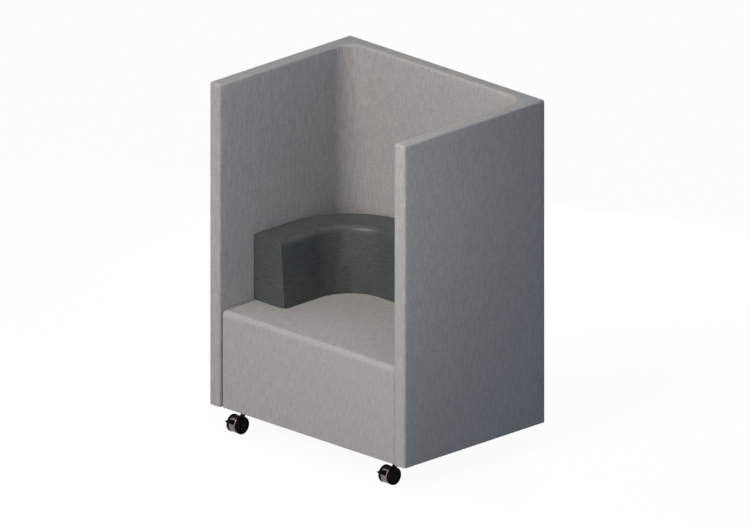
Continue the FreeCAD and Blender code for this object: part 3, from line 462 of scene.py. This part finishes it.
def gritty_black(name, deep, pale, grit, plain):
    """Black moulded plastic or blackened steel: near black, with a fine grit from the mould or the etching
    that breaks up its gloss."""
    material, tree, shader = new_material(name, plain)
    place = add_node(tree, "ShaderNodeTexCoord")
    grains = add_node(tree, "ShaderNodeTexNoise", {"Scale": 1 / grit, "Detail": 2.0},
                      {"Vector": place.outputs["Object"]})
    tint = add_node(tree, "ShaderNodeMix", {"data_type": "RGBA", 6: linear(deep), 7: linear(pale)},
                    {0: grains.outputs["Fac"]})
    gloss = add_node(tree, "ShaderNodeMapRange", {"To Min": 0.38, "To Max": 0.55},
                     {"Value": grains.outputs["Fac"]})
    relief = add_node(tree, "ShaderNodeBump", {"Strength": 0.2, "Distance": 0.1 * MILLIMETRE},
                      {"Height": grains.outputs["Fac"]})
    tree.links.new(tint.outputs[2], shader.inputs["Base Color"])
    tree.links.new(gloss.outputs[0], shader.inputs["Roughness"])
    tree.links.new(relief.outputs[0], shader.inputs["Normal"])
    return material


dress(black_felt(), "dust_cover", "cushion_grip_strips")
dress(gritty_black("black_edging", "#101011", "#1B1B1C", 0.8 * MILLIMETRE, {"Specular IOR Level": 0.2}),
      "screen_base_strip")

# Seat
# One cover of the same grey cloth over the padded box: it runs up the front, over a soft front edge
# and back under the cushion, and is stapled under the rails. The pad under it gives it a low crown.

SEAT_FRONT_ROUND = 20 * MILLIMETRE
SEAT_SIDE_ROUND = 12 * MILLIMETRE
SEAT_CORNER_ROUND = 9 * MILLIMETRE
SEAT_GRID = 14 * MILLIMETRE
SEAT_CROWN = 5 * MILLIMETRE
CROWN_POWER = 1.5
SEAT_SWELL = 2 * MILLIMETRE
DUST_COVER_GAP = 0.2 * MILLIMETRE
DUST_COVER_ROOM = 2 * MILLIMETRE
CUSHION_THICKNESS = 153 * MILLIMETRE
CUSHION_BEND = 300 * MILLIMETRE
CUSHION_MARGIN = 12 * MILLIMETRE

cushion_low, cushion_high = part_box("cushion_cover")
bend_x = cushion_high.x - CUSHION_BEND
bend_y = cushion_high.y - CUSHION_BEND


def horseshoe(rows):
    """Length round the cushion from its left end, and depth in from its outer wall, for each point."""
    middle = CUSHION_BEND - CUSHION_THICKNESS / 2
    arm = bend_y - cushion_low.y
    side = np.abs(rows[:, 0])
    past_x = np.maximum(side - bend_x, 0)
    past_y = np.maximum(rows[:, 1] - bend_y, 0)
    bent = middle * np.arctan2(past_y, past_x)
    straight = np.where(rows[:, 1] < bend_y, rows[:, 1] - cushion_low.y, arm)
    half = straight + np.where(past_y > 0, bent, 0) + np.where(side < bend_x, bend_x - side, 0)
    whole = 2 * (arm + middle * math.pi / 2 + bend_x)
    depth = CUSHION_BEND - np.hypot(past_x, past_y)
    return np.where(rows[:, 0] < 0, half, whole - half), depth


seat_low, seat_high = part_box("seat_cover")
sheet_low, sheet_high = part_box("dust_cover")
seat_top = cushion_low.z
seat = start_piece("seat", bpy.ops.mesh.primitive_cube_add, seat_low,
                   Vector((seat_high.x, seat_high.y, seat_top)))
soften(seat, (lambda edge: lies(edge, y=seat_low.y, z=seat_top), SEAT_FRONT_ROUND),
       (lambda edge: any(lies(edge, x=x, z=seat_top) for x in (seat_low.x, seat_high.x)), SEAT_SIDE_ROUND),
       (lambda edge: any(lies(edge, x=x, y=seat_low.y) for x in (seat_low.x, seat_high.x)),
        SEAT_CORNER_ROUND), segments=8)
for axis, high in zip("xyz", (seat_high.x, seat_high.y, seat_top)):
    score(axis, getattr(seat_low, axis), high, SEAT_GRID)
for axis in "xy":
    cut(axis, getattr(sheet_low, axis) - DUST_COVER_GAP)
    cut(axis, getattr(sheet_high, axis) + DUST_COVER_GAP)
pick("FACE", lambda face: lies(face, z=seat_low.z)
     and sheet_low.x - DUST_COVER_GAP < face.calc_center_median().x < sheet_high.x + DUST_COVER_GAP
     and sheet_low.y - DUST_COVER_GAP < face.calc_center_median().y < sheet_high.y + DUST_COVER_GAP)
bpy.ops.mesh.extrude_region_move(TRANSFORM_OT_translate={
    "value": (0, 0, sheet_high.z - seat_low.z + DUST_COVER_ROOM)})
bpy.ops.object.mode_set(mode="OBJECT")
rows = points_of(seat)
under_cushion = (rows[:, 1] > cushion_low.y) & (horseshoe(rows)[1] < CUSHION_THICKNESS + CUSHION_MARGIN)
at_side = np.abs(rows[:, 0]) > seat_high.x - SEAT_SIDE_ROUND - SPECK
at_foot = rows[:, 2] < sheet_high.z + DUST_COVER_ROOM + SPECK
at_front_edge = (rows[:, 1] < seat_low.y + SEAT_FRONT_ROUND + SPECK) & (
    rows[:, 2] > seat_top - SEAT_FRONT_ROUND - SPECK)
on_top = rows[:, 2] > seat_top - SPECK
crown_front = seat_low.y + SEAT_FRONT_ROUND
crown_back = cushion_high.y - CUSHION_THICKNESS
crown_reach = np.hypot(rows[:, 0], rows[:, 1] - (crown_front + crown_back) / 2)
crown_share = np.maximum(1 - (2 * crown_reach / (crown_back - crown_front)) ** 2, 0)
rows[:, 2] += np.where(on_top, SEAT_CROWN * crown_share ** CROWN_POWER, 0)
set_points(seat, rows)
at_back = rows[:, 1] > seat_high.y - SPECK
plump(seat, under_cushion | at_side | at_foot | at_front_edge | at_back, SEAT_SWELL)
rows = points_of(seat)
lay_cloth(seat, rows[:, 0], 0 * rows[:, 0], rows[:, 2] + rows[:, 1] - seat_low.y)
finish_cloth(seat, grey_melange, "seat_cover")

# Back cushion
# Moulded foam on a plywood base, bent like a horseshoe round the sitter, in a dark grey-green cloth
# with fine cross ribs. Its inner face leans back and its inner top edge is soft.

CUSHION_TAPER = 18 * MILLIMETRE
INNER_EDGE_ROUND = 26 * MILLIMETRE
OUTER_EDGE_ROUND = 9 * MILLIMETRE
END_ROUND = 10 * MILLIMETRE
OUTER_END_ROUND = 4 * MILLIMETRE
CUSHION_GRID = 15 * MILLIMETRE
LEAST_EDGE = 1 * MILLIMETRE
CUSHION_SWELL = 4 * MILLIMETRE
BEND_STEPS = 24
SHARP_ANGLE = math.radians(20)
FACES_FRONT = -0.7

inner_foot = cushion_low.x + CUSHION_THICKNESS
cushion = start_piece("back_cushion", bpy.ops.mesh.primitive_cube_add, cushion_low,
                      Vector((inner_foot, bend_y, cushion_high.z)))
pick("EDGE", lambda edge: lies(edge, x=inner_foot, z=cushion_high.z))
bpy.ops.transform.translate(value=(-CUSHION_TAPER, 0, 0))
pick("EDGE", lambda edge: lies(edge, x=inner_foot - CUSHION_TAPER, z=cushion_high.z))
bpy.ops.mesh.bevel(offset=INNER_EDGE_ROUND, segments=10)
pick("EDGE", lambda edge: lies(edge, x=cushion_low.x, z=cushion_high.z))
bpy.ops.mesh.bevel(offset=OUTER_EDGE_ROUND, segments=4)
score("x", cushion_low.x, inner_foot, CUSHION_GRID)
score("z", cushion_low.z, cushion_high.z, CUSHION_GRID)
bpy.ops.mesh.select_all(action="SELECT")
bpy.ops.mesh.remove_doubles(threshold=LEAST_EDGE)
pick("FACE", lambda face: lies(face, y=bend_y))
bpy.ops.mesh.spin(steps=BEND_STEPS, angle=QUARTER_TURN, axis=(0, 0, 1), center=(-bend_x, bend_y, 0))
bpy.ops.mesh.extrude_region_move(TRANSFORM_OT_translate={"value": (2 * bend_x, 0, 0)})
bpy.ops.mesh.spin(steps=BEND_STEPS, angle=QUARTER_TURN, axis=(0, 0, 1), center=(bend_x, bend_y, 0))
bpy.ops.mesh.extrude_region_move(TRANSFORM_OT_translate={"value": (0, cushion_low.y - bend_y, 0)})
bpy.ops.mesh.select_all(action="SELECT")
bpy.ops.mesh.remove_doubles(threshold=SPECK)
bpy.ops.mesh.normals_make_consistent(inside=False)


def on_outer_end(edge):
    """Edges of the two ends along the screen."""
    return lies(edge, x=cushion_low.x, y=cushion_low.y) or lies(edge, x=cushion_high.x, y=cushion_low.y)


def on_inner_end(edge):
    """The other sharp edges of the two ends."""
    sharp = edge.calc_face_angle(0) > SHARP_ANGLE
    return lies(edge, y=cushion_low.y) and sharp and not on_outer_end(edge)


soften(cushion, (on_outer_end, OUTER_END_ROUND), (on_inner_end, END_ROUND), segments=4)
score("y", cushion_low.y, bend_y, CUSHION_GRID)
score("x", -bend_x, bend_x, CUSHION_GRID)
pick("EDGE", lambda edge: lies(edge, z=cushion_low.z) and edge.calc_face_angle(0) > SHARP_ANGLE)
bpy.ops.transform.edge_crease(value=1)
bpy.ops.object.mode_set(mode="OBJECT")
rows = points_of(cushion)
plump(cushion, (rows[:, 2] < cushion_low.z + SPECK) | (horseshoe(rows)[1] < SPECK), CUSHION_SWELL)
bpy.ops.object.modifier_add(type="SUBSURF")
bpy.ops.object.modifier_apply(modifier=cushion.modifiers[-1].name)
rows = points_of(cushion)
length, depth = horseshoe(rows)
at_end = (rows[:, 1] < cushion_low.y + END_ROUND) & (normals_of(cushion)[:, 1] < FACES_FRONT)
lay_cloth(cushion, np.where(at_end, length + depth - CUSHION_THICKNESS, length), 0 * length,
          rows[:, 2] + np.where(at_end, CUSHION_THICKNESS, depth))
dark_rib = woven_cloth("dark_rib_weave", "#3B403E", "#525754", thread=3.4 * MILLIMETRE,
                       warp_slub=30 * MILLIMETRE, weft_slub=60 * MILLIMETRE, warp_share=0.3,
                       relief_depth=0.2 * MILLIMETRE, plain={"Roughness": 0.25, "Specular IOR Level": 0.18})
finish_cloth(cushion, dark_rib, "cushion_cover")

# Castors
# Four twin-wheel castors: a black stem in the castor board, a chromed drum-shaped hood that swivels on
# it, and two black nylon wheels on one blackened axle. The front pair have a black brake lever.


def dark_chrome():
    """Dark chrome plate on die-cast zinc: satin gloss with a faint unevenness from the polishing."""
    ripple = 5 * MILLIMETRE
    plain = {"Metallic": 1.0, "Base Color": linear("#766C6A")}
    material, tree, shader = new_material("dark_chrome", plain)
    place = add_node(tree, "ShaderNodeTexCoord")
    polish = add_node(tree, "ShaderNodeTexNoise", {"Scale": 1 / ripple}, {"Vector": place.outputs["Object"]})
    gloss = add_node(tree, "ShaderNodeMapRange", {"To Min": 0.3, "To Max": 0.4},
                     {"Value": polish.outputs["Fac"]})
    tree.links.new(gloss.outputs[0], shader.inputs["Roughness"])
    return material


nylon = gritty_black("black_nylon", "#050505", "#0C0C0C", 0.6 * MILLIMETRE, {"Specular IOR Level": 0.03})
oxide = gritty_black("black_oxide", "#0A0A0A", "#121213", 0.5 * MILLIMETRE, {"Specular IOR Level": 0.06})
chrome = dark_chrome()
for corner in ("front_left", "front_right", "rear_left", "rear_right"):
    dress(nylon, f"{corner}_stem", f"{corner}_wheel_a", f"{corner}_wheel_b")
    dress(oxide, f"{corner}_axle")
    dress(chrome, f"{corner}_hood")
for corner in ("front_left", "front_right"):
    dress(nylon, f"{corner}_brake_lever")

# Floor
# A plain white studio floor. The lens sees it almost as paper white, and it keeps a faint soft shadow.
# Scattered light meets it as dark grey, so that little light comes up from it.

FLOOR_SIZE = 40
SHADOW_SHARE = 0.05

bpy.ops.object.select_all(action="DESELECT")
bpy.ops.mesh.primitive_plane_add(size=FLOOR_SIZE)
floor = bpy.context.object
floor.name = "floor"
paper, tree, shader = new_material("white_floor", {"Roughness": 0.9})


def seen_directly(tree):
    """One for rays from the lens, off a mirror or through glass, and nought for scattered light."""
    path = add_node(tree, "ShaderNodeLightPath")
    first = add_node(tree, "ShaderNodeMath", {"operation": "MAXIMUM"},
                     {0: path.outputs["Is Camera Ray"], 1: path.outputs["Is Glossy Ray"]})
    both = add_node(tree, "ShaderNodeMath", {"operation": "MAXIMUM"},
                    {0: first.outputs[0], 1: path.outputs["Is Transmission Ray"]})
    return both.outputs[0]


seen = seen_directly(tree)
tone = add_node(tree, "ShaderNodeMix", {"data_type": "RGBA", 6: linear("#45484C"), 7: linear("#F4F4F4")},
                {0: seen})
tree.links.new(tone.outputs[2], shader.inputs["Base Color"])
white = add_node(tree, "ShaderNodeEmission", {"Color": (1, 1, 1, 1), "Strength": 1.0})
share = add_node(tree, "ShaderNodeMath", {"operation": "MULTIPLY", 1: 1 - SHADOW_SHARE}, {0: seen})
blend = add_node(tree, "ShaderNodeMixShader",
                 links={0: share.outputs[0], 1: shader.outputs[0], 2: white.outputs[0]})
tree.links.new(blend.outputs[0], tree.nodes["Material Output"].inputs["Surface"])
floor.data.materials.append(paper)

# Light
# A broad warm key high in front, soft lamps above and round the object that fade along its sides, and a
# dim blue sky that fills the shade. The lens sees the sky as white.

KEY_PLACE = Vector((0, 0, 3))
KEY_DIRECTION = Vector((0.03, -0.85, 0.67))
KEY_STRENGTH = 2.075
KEY_COLOUR = (1.0, 0.915, 0.806)
KEY_ANGLE = math.radians(25)
SKY_COLOUR = (0.248, 0.555, 1.0, 1.0)
SKY_STRENGTH = 0.334


def add_lamp(name, kind, place, direction, energy, colour):
    """Add a lamp that shines along a direction."""
    turn = direction.to_track_quat("-Z", "Y").to_euler()
    bpy.ops.object.light_add(type=kind, location=place, rotation=turn)
    lamp = bpy.context.object
    lamp.name = name
    lamp.data.energy = energy
    lamp.data.color = colour
    return lamp.data


def add_panel_lamp(name, place, aim, width, watts, colour):
    """Add a square soft lamp at a place, turned to the point it is aimed at."""
    lamp = add_lamp(name, "AREA", Vector(place), Vector(aim) - Vector(place), watts, colour)
    lamp.size = width


key = add_lamp("key", "SUN", KEY_PLACE, -KEY_DIRECTION, KEY_STRENGTH, KEY_COLOUR)
key.angle = KEY_ANGLE
add_panel_lamp("front_lamp", place=(0.6, -1.3, 2.0), aim=(-0.3, 0.1, 0.8), width=0.3, watts=5.0,
               colour=(1.0, 1.0, 1.0))
add_panel_lamp("top_lamp", place=(-0.05, -0.35, 2.5), aim=(-0.05, 0.0, 0.5), width=1.0, watts=6.0,
               colour=(1.0, 0.84, 0.68))
add_panel_lamp("low_lamp", place=(0.5, -2.0, 1.0), aim=(-0.3, 0.0, 0.8), width=0.5, watts=7.9,
               colour=(0.742, 0.83, 1.0))
add_panel_lamp("left_lamp", place=(-1.7, -1.45, 1.0), aim=(-0.1, -0.34, 0.4), width=0.6, watts=8.6,
               colour=(1.0, 0.844, 0.692))
add_panel_lamp("side_lamp", place=(1.5, -0.65, 1.35), aim=(0.4, -0.2, 0.9), width=0.6, watts=4.6,
               colour=(1.0, 0.933, 0.878))
add_panel_lamp("foot_lamp", place=(1.25, -1.05, 0.45), aim=(0.49, -0.3, 0.35), width=0.6, watts=1.67,
               colour=(0.956, 0.961, 1.0))
add_panel_lamp("back_lamp", place=(-1.2, 2.2, 0.9), aim=(-0.2, 0.36, 0.7), width=0.8, watts=34.0,
               colour=(1.0, 0.9, 0.78))

sky = bpy.data.worlds.new("sky")
sky.use_nodes = True
fill = sky.node_tree.nodes["Background"]
fill.inputs["Color"].default_value = SKY_COLOUR
fill.inputs["Strength"].default_value = SKY_STRENGTH
paper_white = add_node(sky.node_tree, "ShaderNodeBackground", {"Color": (1, 1, 1, 1), "Strength": 1.0})
choice = add_node(sky.node_tree, "ShaderNodeMixShader",
                  links={0: seen_directly(sky.node_tree), 1: fill.outputs[0], 2: paper_white.outputs[0]})
sky.node_tree.links.new(choice.outputs[0], sky.node_tree.nodes["World Output"].inputs["Surface"])
bpy.context.scene.world = sky

# Camera
# Studio view without perspective, turned 45 degrees to the right of the front and a little from above.

PHOTO_WIDTH = 750
PIXELS_PER_METRE = 281.66
AIM_LEFT = 0.0082
AIM_UP = 0.6152
CAMERA_DISTANCE = 6

towards_camera = Vector((2 / 3, -2 / 3, 1 / 3))
camera_right = Vector((1, 1, 0)).normalized()
camera_up = towards_camera.cross(camera_right)
foot = Vector((0, (screen_low.y + screen_high.y) / 2, 0))
aim = foot - camera_right * AIM_LEFT + camera_up * AIM_UP
bpy.ops.object.camera_add(location=aim + towards_camera * CAMERA_DISTANCE)
camera = bpy.context.object
camera.rotation_euler = (-towards_camera).to_track_quat("-Z", "Y").to_euler()
camera.data.type = "ORTHO"
camera.data.ortho_scale = PHOTO_WIDTH / PIXELS_PER_METRE
bpy.context.scene.camera = camera
bpy.context.scene.view_settings.view_transform = "Standard"
